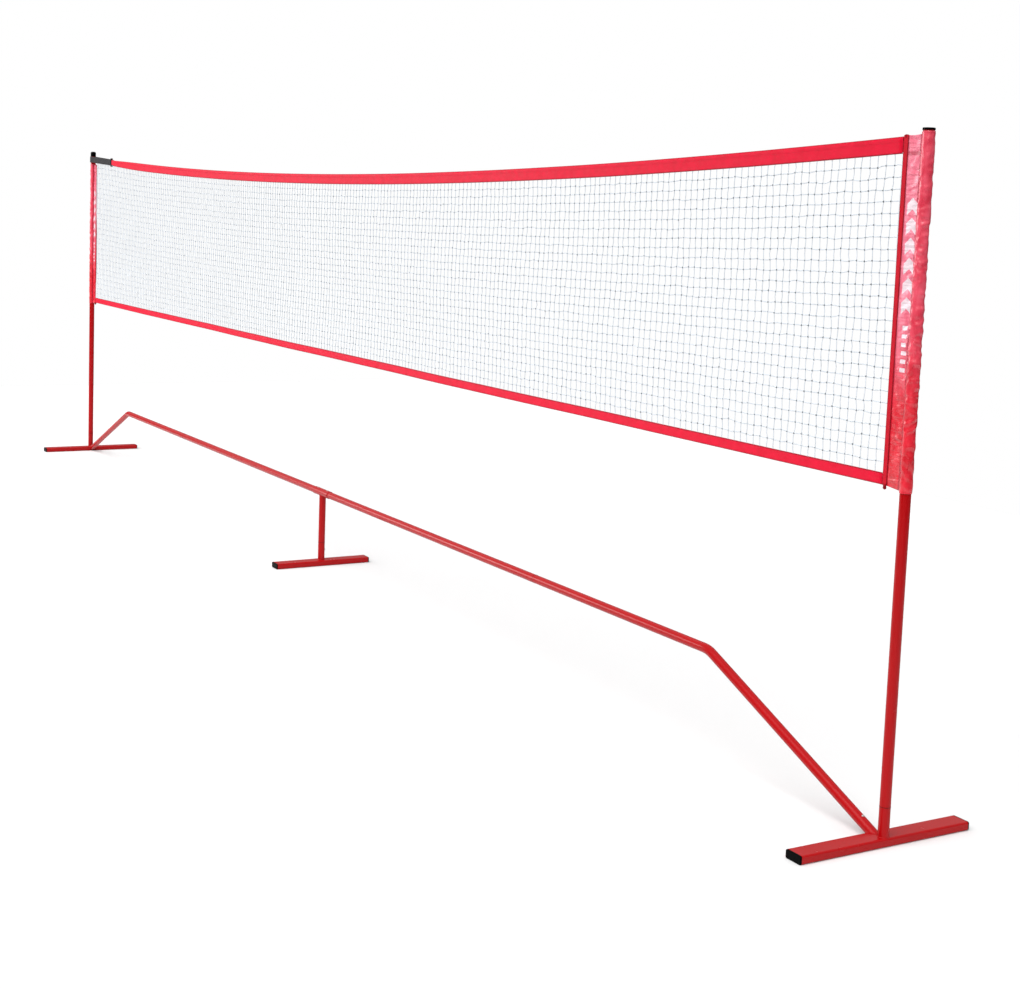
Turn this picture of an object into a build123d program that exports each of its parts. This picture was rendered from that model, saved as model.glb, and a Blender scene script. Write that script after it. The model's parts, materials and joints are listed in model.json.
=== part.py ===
"""Portable badminton net on a free-standing steel tube frame.

X runs along the net, Y across it and Z up. The origin is on the floor under the middle of the net.
Two posts plug into sockets welded on end foot bars. A bent tube rises from each foot bar to a level
crossbar, whose halves meet in a tee on a middle leg. The net hangs between the posts by fabric
sleeves, and a webbing strap on the left post pulls its top band tight.
"""

from build123d import *
import math
import os

os.makedirs("parts", exist_ok=True)

# Whole object
SPAN = 6100.0  # between the axes of the posts
HALF = SPAN / 2
POST_TOP = 1545.0  # top of the post tubes above the floor

# Round tubes and their swaged plug ends
TUBE_R = 12.5
TUBE_WALL = 1.0
BORE_R = TUBE_R - TUBE_WALL
PLUG_GAP = 0.07  # radial running gap of a plug in its socket
PLUG_R = BORE_R - PLUG_GAP
PLUG_BORE_R = PLUG_R - TUBE_WALL
PLUG_LENGTH = 60.0
SHOULDER = 3.0  # length of the step between tube and plug
SOCKET = 68.0  # length of a socket above its foot bar
LEG_SOCKET = 66.0
SOCKET_FLOOR = 2.0  # metal left under a socket's bore

# Foot bars
BAR_W = 50.0
BAR_H = 20.0
BAR_R = 4.5
BAR_WALL = 1.5
END_BAR = 480.0
MIDDLE_BAR = 366.0
POST_OFFSET = 9.5  # the post stands this far outboard of its bar's centre line
END_BAR_X = HALF - POST_OFFSET
END_PLUG = 4.0  # thickness of an end plug's head
END_PLUG_STEM = 18.0
END_PLUG_GAP = 0.2

# Crossbar and its braces
CROSSBAR_Z = 274.0
BEND_INSET = 655.0  # from the post's axis to the bend, along X
BEND_R = 90.0
BRACE_FOOT_INSET = 20.0  # where the brace's axis ends inside the foot bar
BRACE_TAIL = 12.0  # the socket tube runs on this far before it is cut flush with the bar
JOINT_X = 1550.0  # joint between the bent end tube and the straight tube

# Tee on the middle leg
TEE_R = 14.0
TEE_BORE_R = TUBE_R + PLUG_GAP
TEE_HALF = 65.0
TUBE_STOP_X = 8.0  # inner end of each crossbar tube inside the tee

# Snap buttons
BUTTON_R = 3.2
BUTTON_HOLE_R = 3.3
BUTTON_PROUD = 2.2  # how far a button stands out of the outer tube
BUTTON_DOME = 1.2
TEE_BUTTON_X = 43.0
SOCKET_BUTTON = 28.0  # from a socket's mouth down to its button
SPRING_W = 8.0
SPRING_T = 0.8
SPRING_LENGTH = 36.0
SPRING_GAP = 0.1
BUTTON_ROOT = 1.0  # from the inner tube's wall in to the foot of the button

# Post caps
CAP_R = 13.5
CAP_STEM = 15.0
CAP_STEM_R = BORE_R - 0.2
RIGHT_CAP = 5.0  # height above the tube
RIGHT_CAP_ROUND = 1.5
LEFT_CAP = 25.0
LEFT_CAP_ROUND = 8.0

# Net
TOP_LEFT_Z = 1528.0  # middle of the top band, carried on to the left post
TOP_MIDDLE_Z = 1436.0
TOP_RIGHT_Z = 1519.0
BOTTOM_END_Z = 799.5
BOTTOM_MIDDLE_Z = 795.5
TOP_BAND = 36.0
TOP_BAND_T = 4.0
BOTTOM_BAND = 26.0
BOTTOM_BAND_T = 2.0
MESH_T = 0.8
MESH_GAP = 0.6  # between the mesh panel and the top band
HEAD_CORD_R = 1.25
HEAD_CORD_GAP = 0.15
HEAD_CORD_RISE = 11.0  # head cord above the middle of the top band
HEAD_CORD_INSET = 4.0  # from the band's right end
CORD_START_X = -2680.0
BAND_START_X = -2700.0  # left end of the top band, at the buckle
BAND_END_GAP = 1.2  # between the band's right end and the binding

# Side bindings, sleeves and corner knots, measured inward from a post's axis
SLEEVE_INSET = 57.0
BINDING_INSET = 72.0
BINDING_T = 2.4
SLEEVE_T = 1.6
POCKET_R = 13.6
POCKET_BORE_R = 12.8
SLEEVE_BOTTOM_Z = 779.0
BINDING_BOTTOM_Z = 786.0
RIGHT_SLEEVE_Z = 1536.0
LEFT_SLEEVE_Z = 1501.0
SLEEVE_RISE = 7.0  # the sleeve's top edge rises this much to the post
SLEEVE_DIP = 5.0
KNOT_R = 4.5
KNOT_H = 8.0

# Tension strap and buckle
STRAP_Z = 1529.5
STRAP_TILT = 3.0  # degrees down towards the net
STRAP_W = 30.0
STRAP_T = 1.6
STRAP_BORE_R = 14.4
STRAP_REACH = 315.0  # from the post's axis to the buckle's first bar
BUCKLE_BAR_R = 2.5
BUCKLE_BAR_GAP = 0.3
BUCKLE_PITCH = 22.0  # between the buckle's first and last bars
BUCKLE_MIDDLE_R = 1.8
BUCKLE_RAIL = 4.0
BUCKLE_SLOT = 33.0
BUCKLE_T = 5.0
TAB_W = 28.0  # fabric tab that ties the top band to the buckle
TAB_T = 1.2
TAB_TAIL = 21.0  # from the buckle's last bar to where the tab ends inside the band
TAB_TAIL_R = 1.5

END_X = HALF - BINDING_INSET  # where the mesh and the bottom band end
BRACE_BEND = Vector(HALF - BEND_INSET, 0, CROSSBAR_Z)
BRACE_FOOT = Vector(HALF - BRACE_FOOT_INSET, 0, BAR_H / 2)


def save(part, label):
    """Label a finished piece and write its STEP file."""
    part.label = label
    export_step(part, f"parts/{label}.step")


def mirror_x(point, side):
    """The point on the right (side 1) or its mirror image on the left (side -1)."""
    return Vector(side * point.X, point.Y, point.Z)


def top_line(x):
    """Height of the middle of the top band at x: a sagging parabola through its three heights."""
    tilt = (TOP_RIGHT_Z - TOP_LEFT_Z) / SPAN
    rise = (TOP_RIGHT_Z + TOP_LEFT_Z) / 2 - TOP_MIDDLE_Z
    return TOP_MIDDLE_Z + tilt * x + rise * (x / HALF) ** 2


def bottom_line(x):
    """Height of the middle of the bottom band at x."""
    return BOTTOM_MIDDLE_Z + (BOTTOM_END_Z - BOTTOM_MIDDLE_Z) * (x / HALF) ** 2


def line_points(line, start_x, end_x, rise=0.0):
    """Start, middle and end of a sagging line as (x, height) pairs, raised by rise."""
    middle_x = (start_x + end_x) / 2
    return [(x, line(x) + rise) for x in (start_x, middle_x, end_x)]


def head_cord_bar(start_x, end_x, radius):
    """Round bar along the line of the head cord inside the top band."""
    points = line_points(top_line, start_x, end_x, HEAD_CORD_RISE)
    with BuildPart() as bar:
        with BuildLine() as path:
            ThreePointArc(*[(x, 0, z) for x, z in points])
        with BuildSketch(Plane(path.line @ 0, x_dir=(0, 1, 0), z_dir=path.line % 0)):
            Circle(radius)
        sweep(path=path.line)
    return bar.part


def brace_mouth(side):
    """Plane at the mouth of an end foot bar's slanted socket, facing up the brace."""
    foot = mirror_x(BRACE_FOOT, side)
    direction = (mirror_x(BRACE_BEND, side) - foot).normalized()
    inner_face_x = END_BAR_X - BAR_W / 2
    along = (BRACE_FOOT.X - inner_face_x) / abs(direction.X) + SOCKET
    return Plane(foot + direction * along, x_dir=(0, 1, 0), z_dir=direction)


def socket_seat(mouth, outward):
    """Plane on the axis of a socket, facing out along its snap button.

    Its X direction runs along the inner tube, away from that tube's open end.
    """
    return Plane(mouth.origin - mouth.z_dir * SOCKET_BUTTON, x_dir=mouth.z_dir, z_dir=outward)


SIDES = {"right": 1, "left": -1}

post_mouths = {side: Plane((side * HALF, 0, BAR_H + SOCKET)) for side in SIDES.values()}
leg_mouth = Plane((0, 0, BAR_H + LEG_SOCKET))
brace_mouths = {side: brace_mouth(side) for side in SIDES.values()}
joint_mouths = {
    side: Plane((side * JOINT_X, 0, CROSSBAR_Z), x_dir=(0, 1, 0), z_dir=(-side, 0, 0))
    for side in SIDES.values()
}

leg_seat = socket_seat(leg_mouth, Vector(0, 1, 0))
brace_seats = {
    side: socket_seat(mouth, Vector(0, side, 0).cross(mouth.z_dir))
    for side, mouth in brace_mouths.items()
}
tee_seats = {
    side: Plane((side * TEE_BUTTON_X, 0, CROSSBAR_Z), x_dir=(side, 0, 0), z_dir=(0, 0, 1))
    for side in SIDES.values()
}

strap_angle = math.radians(STRAP_TILT)
strap_plane = Plane(
    (-HALF, 0, STRAP_Z),
    x_dir=(math.cos(strap_angle), 0, -math.sin(strap_angle)),
    z_dir=(math.sin(strap_angle), 0, math.cos(strap_angle)),
)


def foot_bar(centre_x, length, sockets, seats):
    """Rectangular bar along Y with round sockets welded on.

    sockets pairs each mouth plane with the length of tube that runs back from it into the bar.
    """
    section = Plane((centre_x, 0, BAR_H / 2), x_dir=(1, 0, 0), z_dir=(0, 1, 0))
    with BuildPart() as bar:
        with BuildSketch(section):
            RectangleRounded(BAR_W, BAR_H, BAR_R)
        extrude(amount=length / 2, both=True)
        for mouth, run in sockets:
            with BuildSketch(mouth):
                Circle(TUBE_R)
            extrude(amount=-run)
        with BuildSketch(Plane((centre_x, 0, 0))):
            Rectangle(2 * BAR_W, 2 * BAR_W)
        extrude(amount=-BAR_H, mode=Mode.SUBTRACT)
        for mouth, run in sockets:
            with BuildSketch(mouth):
                Circle(BORE_R)
            extrude(amount=-(PLUG_LENGTH + SOCKET_FLOOR), mode=Mode.SUBTRACT)
        with BuildSketch(section):
            RectangleRounded(BAR_W - 2 * BAR_WALL, BAR_H - 2 * BAR_WALL, BAR_R - BAR_WALL)
        extrude(amount=length / 2, both=True, mode=Mode.SUBTRACT)
        for seat in seats:
            with BuildSketch(seat):
                Circle(BUTTON_HOLE_R)
            extrude(amount=2 * TUBE_R, mode=Mode.SUBTRACT)
    return bar.part


def foot_plug(centre_x, bar_length, end):
    """Plastic plug in one open end of a foot bar; end is 1 at +Y and -1 at -Y."""
    face = Plane((centre_x, end * bar_length / 2, BAR_H / 2), x_dir=(1, 0, 0), z_dir=(0, end, 0))
    stem_w = BAR_W - 2 * (BAR_WALL + END_PLUG_GAP)
    stem_h = BAR_H - 2 * (BAR_WALL + END_PLUG_GAP)
    with BuildPart() as plug:
        with BuildSketch(face):
            RectangleRounded(BAR_W, BAR_H, BAR_R)
        extrude(amount=END_PLUG)
        outer_face = plug.faces().sort_by(Axis(face.origin, face.z_dir))[-1]
        fillet(outer_face.edges(), END_PLUG / 2)
        with BuildSketch(face):
            RectangleRounded(stem_w, stem_h, BAR_R - BAR_WALL)
        extrude(amount=-END_PLUG_STEM)
    return plug.part


def plugged_tube(mouth, length, seats=()):
    """Straight tube from a socket's mouth, with a swaged plug that reaches back into the socket."""
    with BuildPart() as tube:
        with BuildSketch(mouth):
            Circle(TUBE_R)
            Circle(BORE_R, mode=Mode.SUBTRACT)
        extrude(amount=length)
        with BuildSketch(mouth):
            Circle(TUBE_R)
            Circle(PLUG_BORE_R, mode=Mode.SUBTRACT)
        extrude(amount=SHOULDER)
        with BuildSketch(mouth):
            Circle(PLUG_R)
            Circle(PLUG_BORE_R, mode=Mode.SUBTRACT)
        extrude(amount=-PLUG_LENGTH)
        for seat in seats:
            with BuildSketch(seat):
                Circle(BUTTON_HOLE_R)
            extrude(amount=2 * TUBE_R, mode=Mode.SUBTRACT)
    return tube.part


def bent_end_tube(side):
    """Tube that rises from the foot bar's slanted socket, bends level and runs to the joint."""
    mouth = brace_mouths[side]
    plug_end = plugged_tube(mouth, SHOULDER, [brace_seats[side]])
    with BuildPart() as tube:
        with BuildLine() as route:
            FilletPolyline(
                mouth.origin, mirror_x(BRACE_BEND, side), joint_mouths[side].origin, radius=BEND_R
            )
        with BuildSketch(mouth):
            Circle(TUBE_R)
            Circle(BORE_R, mode=Mode.SUBTRACT)
        sweep(path=route.line)
        add(plug_end)
    return tube.part


def snap_button(seat, inner_r, outer_r):
    """Steel button on the seat's axis, from inside the inner tube out through both walls."""
    root = inner_r - BUTTON_ROOT
    with BuildPart() as button:
        with BuildSketch(seat.offset(root)):
            Circle(BUTTON_R)
        extrude(amount=outer_r + BUTTON_PROUD - root)
        rims = button.edges().filter_by(GeomType.CIRCLE).sort_by(Axis(seat.origin, seat.z_dir))
        fillet(rims[-1], BUTTON_DOME)
    return button.part


def snap_spring(seat, inner_r):
    """Steel strip folded into a U inside the inner tube, with one leg under the button."""
    upper_z = inner_r - BUTTON_ROOT - SPRING_T / 2
    wall_z = math.sqrt(inner_r**2 - (SPRING_W / 2) ** 2)
    lower_z = SPRING_GAP + SPRING_T / 2 - wall_z
    turn_x = SPRING_LENGTH + (upper_z - lower_z) / 2
    side_view = Plane(seat.origin, x_dir=seat.x_dir, z_dir=-seat.y_dir)
    with BuildPart() as spring:
        with BuildSketch(side_view):
            with BuildLine():
                upper = Line((-BUTTON_R, upper_z), (SPRING_LENGTH, upper_z))
                turn = ThreePointArc(
                    upper @ 1, (turn_x, (upper_z + lower_z) / 2), (SPRING_LENGTH, lower_z)
                )
                Line(turn @ 1, (-BUTTON_R, lower_z))
            trace(line_width=SPRING_T)
        extrude(amount=SPRING_W / 2, both=True)
    return spring.part


def post_cap(side, height, rounding):
    """Plastic cap with a stem pushed into the top of a post."""
    seat = Plane((side * HALF, 0, POST_TOP))
    with BuildPart() as cap:
        with BuildSketch(seat):
            Circle(CAP_R)
        extrude(amount=height)
        fillet(cap.edges().filter_by(GeomType.CIRCLE).sort_by(Axis.Z)[-1], rounding)
        with BuildSketch(seat):
            Circle(CAP_STEM_R)
        extrude(amount=-CAP_STEM)
    return cap.part


def sleeve(side, top_z):
    """Flat fabric panel beside the net, ending in a tubular pocket round the post."""
    post_x = side * HALF
    inner_x = side * (HALF - SLEEVE_INSET)
    with BuildPart() as fabric:
        with BuildSketch(Plane.XZ):
            with BuildLine():
                hem = Line((post_x, SLEEVE_BOTTOM_Z), (inner_x, BINDING_BOTTOM_Z))
                seam = Line(hem @ 1, (inner_x, top_z))
                top = ThreePointArc(
                    seam @ 1, ((inner_x + post_x) / 2, top_z - SLEEVE_DIP), (post_x, top_z + SLEEVE_RISE)
                )
                Line(top @ 1, hem @ 0)
            make_face()
        extrude(amount=SLEEVE_T / 2, both=True)
        pocket_length = top_z + SLEEVE_RISE - SLEEVE_BOTTOM_Z
        with BuildSketch(Plane((post_x, 0, SLEEVE_BOTTOM_Z))):
            Circle(POCKET_R)
        extrude(amount=pocket_length)
        with BuildSketch(Plane((post_x, 0, SLEEVE_BOTTOM_Z))):
            Circle(POCKET_BORE_R)
        extrude(amount=pocket_length, mode=Mode.SUBTRACT)
    return fabric.part


def side_binding(side, top_z):
    """Folded tape sewn along one end of the mesh."""
    inner_x = side * (HALF - BINDING_INSET)
    outer_x = side * (HALF - SLEEVE_INSET)
    with BuildPart() as binding:
        with BuildSketch(Plane.XZ):
            Polygon(
                (inner_x, BINDING_BOTTOM_Z),
                (outer_x, BINDING_BOTTOM_Z),
                (outer_x, top_z),
                (inner_x, top_z),
                align=None,
            )
        extrude(amount=BINDING_T / 2, both=True)
    return binding.part


# Foot bars with their welded sockets, and the plugs in their ends
post_run = SOCKET + BAR_WALL
leg_run = LEG_SOCKET + BAR_WALL
for name, side in SIDES.items():
    mouth = brace_mouths[side]
    brace_run = (mouth.origin - mirror_x(BRACE_FOOT, side)).length + BRACE_TAIL
    sockets = [(post_mouths[side], post_run), (mouth, brace_run)]
    bar_x = side * END_BAR_X
    save(foot_bar(bar_x, END_BAR, sockets, [brace_seats[side]]), f"{name}_foot_bar")
    save(foot_plug(bar_x, END_BAR, -1), f"{name}_foot_plug_front")
    save(foot_plug(bar_x, END_BAR, 1), f"{name}_foot_plug_back")
save(foot_bar(0, MIDDLE_BAR, [(leg_mouth, leg_run)], [leg_seat]), "middle_foot_bar")
save(foot_plug(0, MIDDLE_BAR, -1), "middle_foot_plug_front")
save(foot_plug(0, MIDDLE_BAR, 1), "middle_foot_plug_back")

# Posts and caps
for name, side in SIDES.items():
    mouth = post_mouths[side]
    save(plugged_tube(mouth, POST_TOP - mouth.origin.Z), f"{name}_post")
save(post_cap(1, RIGHT_CAP, RIGHT_CAP_ROUND), "right_post_cap")
save(post_cap(-1, LEFT_CAP, LEFT_CAP_ROUND), "left_post_cap")

# Crossbar
for name, side in SIDES.items():
    save(bent_end_tube(side), f"{name}_end_tube")
    straight_tube = plugged_tube(joint_mouths[side], JOINT_X - TUBE_STOP_X, [tee_seats[side]])
    save(straight_tube, f"{name}_crossbar_tube")

# Middle leg with the tee welded on top
leg_tube = plugged_tube(leg_mouth, CROSSBAR_Z - leg_mouth.origin.Z, [leg_seat])
with BuildPart() as tee_leg:
    add(leg_tube)
    with BuildSketch(Plane.YZ.shift_origin((0, 0, CROSSBAR_Z))):
        Circle(TEE_R)
    extrude(amount=TEE_HALF, both=True)
    with BuildSketch(Plane.YZ.shift_origin((0, 0, CROSSBAR_Z))):
        Circle(TEE_BORE_R)
    extrude(amount=TEE_HALF, both=True, mode=Mode.SUBTRACT)
    with BuildSketch(*tee_seats.values()):
        Circle(BUTTON_HOLE_R)
    extrude(amount=2 * TUBE_R, mode=Mode.SUBTRACT)
save(tee_leg.part, "tee_leg")

# Snap buttons and their springs
save(snap_button(leg_seat, PLUG_BORE_R, TUBE_R), "leg_button")
save(snap_spring(leg_seat, PLUG_BORE_R), "leg_button_spring")
for name, side in SIDES.items():
    save(snap_button(brace_seats[side], PLUG_BORE_R, TUBE_R), f"{name}_brace_button")
    save(snap_spring(brace_seats[side], PLUG_BORE_R), f"{name}_brace_button_spring")
    save(snap_button(tee_seats[side], BORE_R, TEE_R), f"{name}_tee_button")
    save(snap_spring(tee_seats[side], BORE_R), f"{name}_tee_button_spring")

# Mesh panel between the bands
with BuildPart() as net_mesh:
    with BuildSketch(Plane.XZ):
        with BuildLine():
            lower = ThreePointArc(*line_points(bottom_line, -END_X, END_X, BOTTOM_BAND / 2))
            upper = ThreePointArc(*line_points(top_line, -END_X, END_X, -TOP_BAND / 2 - MESH_GAP))
            Line(lower @ 0, upper @ 0)
            Line(lower @ 1, upper @ 1)
        make_face()
    extrude(amount=MESH_T / 2, both=True)
save(net_mesh.part, "net_mesh")

# Top band: a folded band round the head cord, with a tab that loops over the buckle's last bar
band_end_x = END_X - BAND_END_GAP
bore = head_cord_bar(CORD_START_X - HEAD_CORD_GAP, END_X, HEAD_CORD_R + HEAD_CORD_GAP)
with BuildPart() as top_band:
    with BuildSketch(Plane.XZ):
        with BuildLine():
            lower = ThreePointArc(*line_points(top_line, BAND_START_X, band_end_x, -TOP_BAND / 2))
            upper = ThreePointArc(*line_points(top_line, BAND_START_X, band_end_x, TOP_BAND / 2))
            Line(lower @ 0, upper @ 0)
            Line(lower @ 1, upper @ 1)
        make_face()
    extrude(amount=TOP_BAND_T / 2, both=True)
    with BuildSketch(strap_plane):
        with Locations((STRAP_REACH + BUCKLE_PITCH, 0)):
            Circle(BUCKLE_BAR_R + BUCKLE_BAR_GAP + TAB_T)
        with Locations((STRAP_REACH + BUCKLE_PITCH + TAB_TAIL, 0)):
            Circle(TAB_TAIL_R)
        make_hull()
        with Locations((STRAP_REACH + BUCKLE_PITCH, 0)):
            Circle(BUCKLE_BAR_R + BUCKLE_BAR_GAP, mode=Mode.SUBTRACT)
    extrude(amount=TAB_W / 2, both=True)
    add(bore, mode=Mode.SUBTRACT)
save(top_band.part, "top_band")
head_cord = head_cord_bar(CORD_START_X, band_end_x - HEAD_CORD_INSET, HEAD_CORD_R)
save(head_cord, "head_cord")

with BuildPart() as bottom_band:
    with BuildSketch(Plane.XZ):
        with BuildLine():
            lower = ThreePointArc(*line_points(bottom_line, -END_X, END_X, -BOTTOM_BAND / 2))
            upper = ThreePointArc(*line_points(bottom_line, -END_X, END_X, BOTTOM_BAND / 2))
            Line(lower @ 0, upper @ 0)
            Line(lower @ 1, upper @ 1)
        make_face()
    extrude(amount=BOTTOM_BAND_T / 2, both=True)
save(bottom_band.part, "bottom_band")

# Side bindings, sleeves and the knots at the bindings' ends
sleeve_tops = {1: RIGHT_SLEEVE_Z, -1: LEFT_SLEEVE_Z}
for name, side in SIDES.items():
    save(sleeve(side, sleeve_tops[side]), f"{name}_sleeve")
    save(side_binding(side, sleeve_tops[side]), f"{name}_binding")
with BuildPart() as corner_knots:
    for side, top_z in sleeve_tops.items():
        knot_x = side * (HALF - (SLEEVE_INSET + BINDING_INSET) / 2)
        for base_z in (top_z, BINDING_BOTTOM_Z - KNOT_H):
            with BuildSketch(Plane((knot_x, 0, base_z))):
                Circle(KNOT_R)
            extrude(amount=KNOT_H)
save(corner_knots.part, "corner_knots")

# Tension strap: a loop from round the left post to the buckle's first bar
with BuildPart() as tension_strap:
    with BuildSketch(strap_plane):
        Circle(STRAP_BORE_R + STRAP_T)
        with Locations((STRAP_REACH, 0)):
            Circle(BUCKLE_BAR_R + BUCKLE_BAR_GAP + STRAP_T)
        make_hull()
    extrude(amount=STRAP_W / 2, both=True)
    with BuildSketch(strap_plane):
        Circle(STRAP_BORE_R)
        with Locations((STRAP_REACH, 0)):
            Circle(BUCKLE_BAR_R + BUCKLE_BAR_GAP)
        make_hull()
    extrude(amount=STRAP_W / 2, both=True, mode=Mode.SUBTRACT)
save(tension_strap.part, "tension_strap")

# Buckle: two rails joined by three bars
rail_length = BUCKLE_PITCH + 2 * BUCKLE_BAR_R
bar_radii = (BUCKLE_BAR_R, BUCKLE_MIDDLE_R, BUCKLE_BAR_R)
with BuildPart() as strap_buckle:
    for level in (1, -1):
        rail_offset = level * (BUCKLE_SLOT + BUCKLE_RAIL) / 2
        with BuildSketch(strap_plane.offset(rail_offset)):
            with Locations((STRAP_REACH + BUCKLE_PITCH / 2, 0)):
                RectangleRounded(rail_length, BUCKLE_T, BUCKLE_BAR_R - 0.5)
        extrude(amount=BUCKLE_RAIL / 2, both=True)
    for place, radius in enumerate(bar_radii):
        with BuildSketch(strap_plane):
            with Locations((STRAP_REACH + place * BUCKLE_PITCH / 2, 0)):
                Circle(radius)
        extrude(amount=BUCKLE_SLOT / 2, both=True)
save(strap_buckle.part, "strap_buckle")
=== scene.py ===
"""Looks of the portable badminton net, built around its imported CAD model. Lengths are in metres."""

import json
import math

import bpy
import numpy as np
from mathutils import Matrix, Vector, noise


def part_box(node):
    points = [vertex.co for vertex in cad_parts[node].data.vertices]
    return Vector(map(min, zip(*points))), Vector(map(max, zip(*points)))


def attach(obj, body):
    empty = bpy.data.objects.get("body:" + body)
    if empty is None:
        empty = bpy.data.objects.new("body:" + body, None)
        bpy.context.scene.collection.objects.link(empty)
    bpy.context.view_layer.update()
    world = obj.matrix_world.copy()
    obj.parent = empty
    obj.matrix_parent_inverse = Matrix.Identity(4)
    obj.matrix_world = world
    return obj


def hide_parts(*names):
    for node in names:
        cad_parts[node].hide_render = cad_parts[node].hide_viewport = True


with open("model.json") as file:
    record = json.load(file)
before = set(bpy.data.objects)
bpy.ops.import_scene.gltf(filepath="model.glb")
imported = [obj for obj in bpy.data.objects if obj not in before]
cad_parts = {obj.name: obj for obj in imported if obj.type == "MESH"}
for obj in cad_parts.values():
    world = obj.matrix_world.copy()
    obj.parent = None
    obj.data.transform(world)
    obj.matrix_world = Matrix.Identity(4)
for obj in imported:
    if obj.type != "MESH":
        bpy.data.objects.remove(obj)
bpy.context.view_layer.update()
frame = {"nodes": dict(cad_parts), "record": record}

SEED = 11
SIDES = {"right": 1, "left": -1}
FRONT, BACK = -1, 1  # the faces of the net, along Y


def added(name, data):
    """New object of some data, in the scene."""
    thing = bpy.data.objects.new(name, data)
    bpy.context.scene.collection.objects.link(thing)
    return thing


def circle(count):
    """Cosine and sine of a count of equal turns."""
    turns = np.linspace(0, 2 * math.pi, count, endpoint=False)
    return [(math.cos(turn), math.sin(turn)) for turn in turns]


# Places of the CAD pieces

def middle(node):
    """Centre of a CAD node's box."""
    low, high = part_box(node)
    return (low + high) / 2


HALF = middle("right_post").x  # from the middle of the net to a post's axis
POST_R = (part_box("right_post")[1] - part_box("right_post")[0]).x / 2
END_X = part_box("net_mesh")[1].x  # where the mesh and the bottom band end
TAB_RUN = 0.017
BAND_START_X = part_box("top_band")[0].x + TAB_RUN  # the tab on the buckle is left of this
BAND_END_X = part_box("top_band")[1].x
TOP_BAND = 0.036  # width of the tape
NARROW_RUN = 0.50  # the top band narrows over this length, towards the buckle
NARROW_SHARE = 0.74
BOTTOM_BAND = 0.026
BINDING_BOTTOM_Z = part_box("right_binding")[0].z
BINDING_TOP_Z = {1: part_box("right_binding")[1].z, -1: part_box("left_binding")[1].z}
BINDING_W = 0.015
BINDING_X = middle("right_binding").x
SLEEVE_BOTTOM_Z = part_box("right_sleeve")[0].z
SLEEVE_DIP = 0.0015  # how far the sleeve's top edge sags between binding and post
SLEEVE_RISE = 0.007  # and how far it climbs towards the post
TOP_LEFT_Z, TOP_MIDDLE_Z, TOP_RIGHT_Z = 1.528, 1.436, 1.519  # middle lines of the two bands
BOTTOM_END_Z, BOTTOM_MIDDLE_Z = 0.7995, 0.7955
POCKET_R = 0.0136  # the sleeve's tube round the post
PANEL_W = HALF - POCKET_R - BINDING_X - BINDING_W / 2  # the sleeve's flat panel, up to its pocket
CROSSBAR_Z = middle("right_crossbar_tube").z
BILLOWS = ((0.0030, 3.7, 0.4), (0.0012, 10.3, 1.9))  # height, radians per metre and start
BAR_H = 0.020
BAR_W = 0.050
BAR_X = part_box("right_foot_bar")[1].x - BAR_W / 2


def top_line(x):
    """Height of the middle of the top band."""
    tilt = (TOP_RIGHT_Z - TOP_LEFT_Z) / (2 * HALF)
    rise = (TOP_RIGHT_Z + TOP_LEFT_Z) / 2 - TOP_MIDDLE_Z
    return TOP_MIDDLE_Z + tilt * x + rise * (x / HALF) ** 2


def half_band(x):
    """Half the width of the top band, which narrows towards the buckle."""
    share = np.clip((np.asarray(x) - BAND_START_X) / NARROW_RUN, 0, 1)
    return TOP_BAND / 2 * (NARROW_SHARE + (1 - NARROW_SHARE) * share * (2 - share))


def bottom_line(x):
    """Height of the middle of the bottom band."""
    return BOTTOM_MIDDLE_Z + (BOTTOM_END_Z - BOTTOM_MIDDLE_Z) * (x / HALF) ** 2


def billow(x):
    """How far the hanging net stands off its plane at x, nothing at its ends."""
    wave = sum(height * np.sin(turns * x + start) for height, turns, start in BILLOWS)
    return wave * (1 - (x / END_X) ** 2)


# Materials

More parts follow.
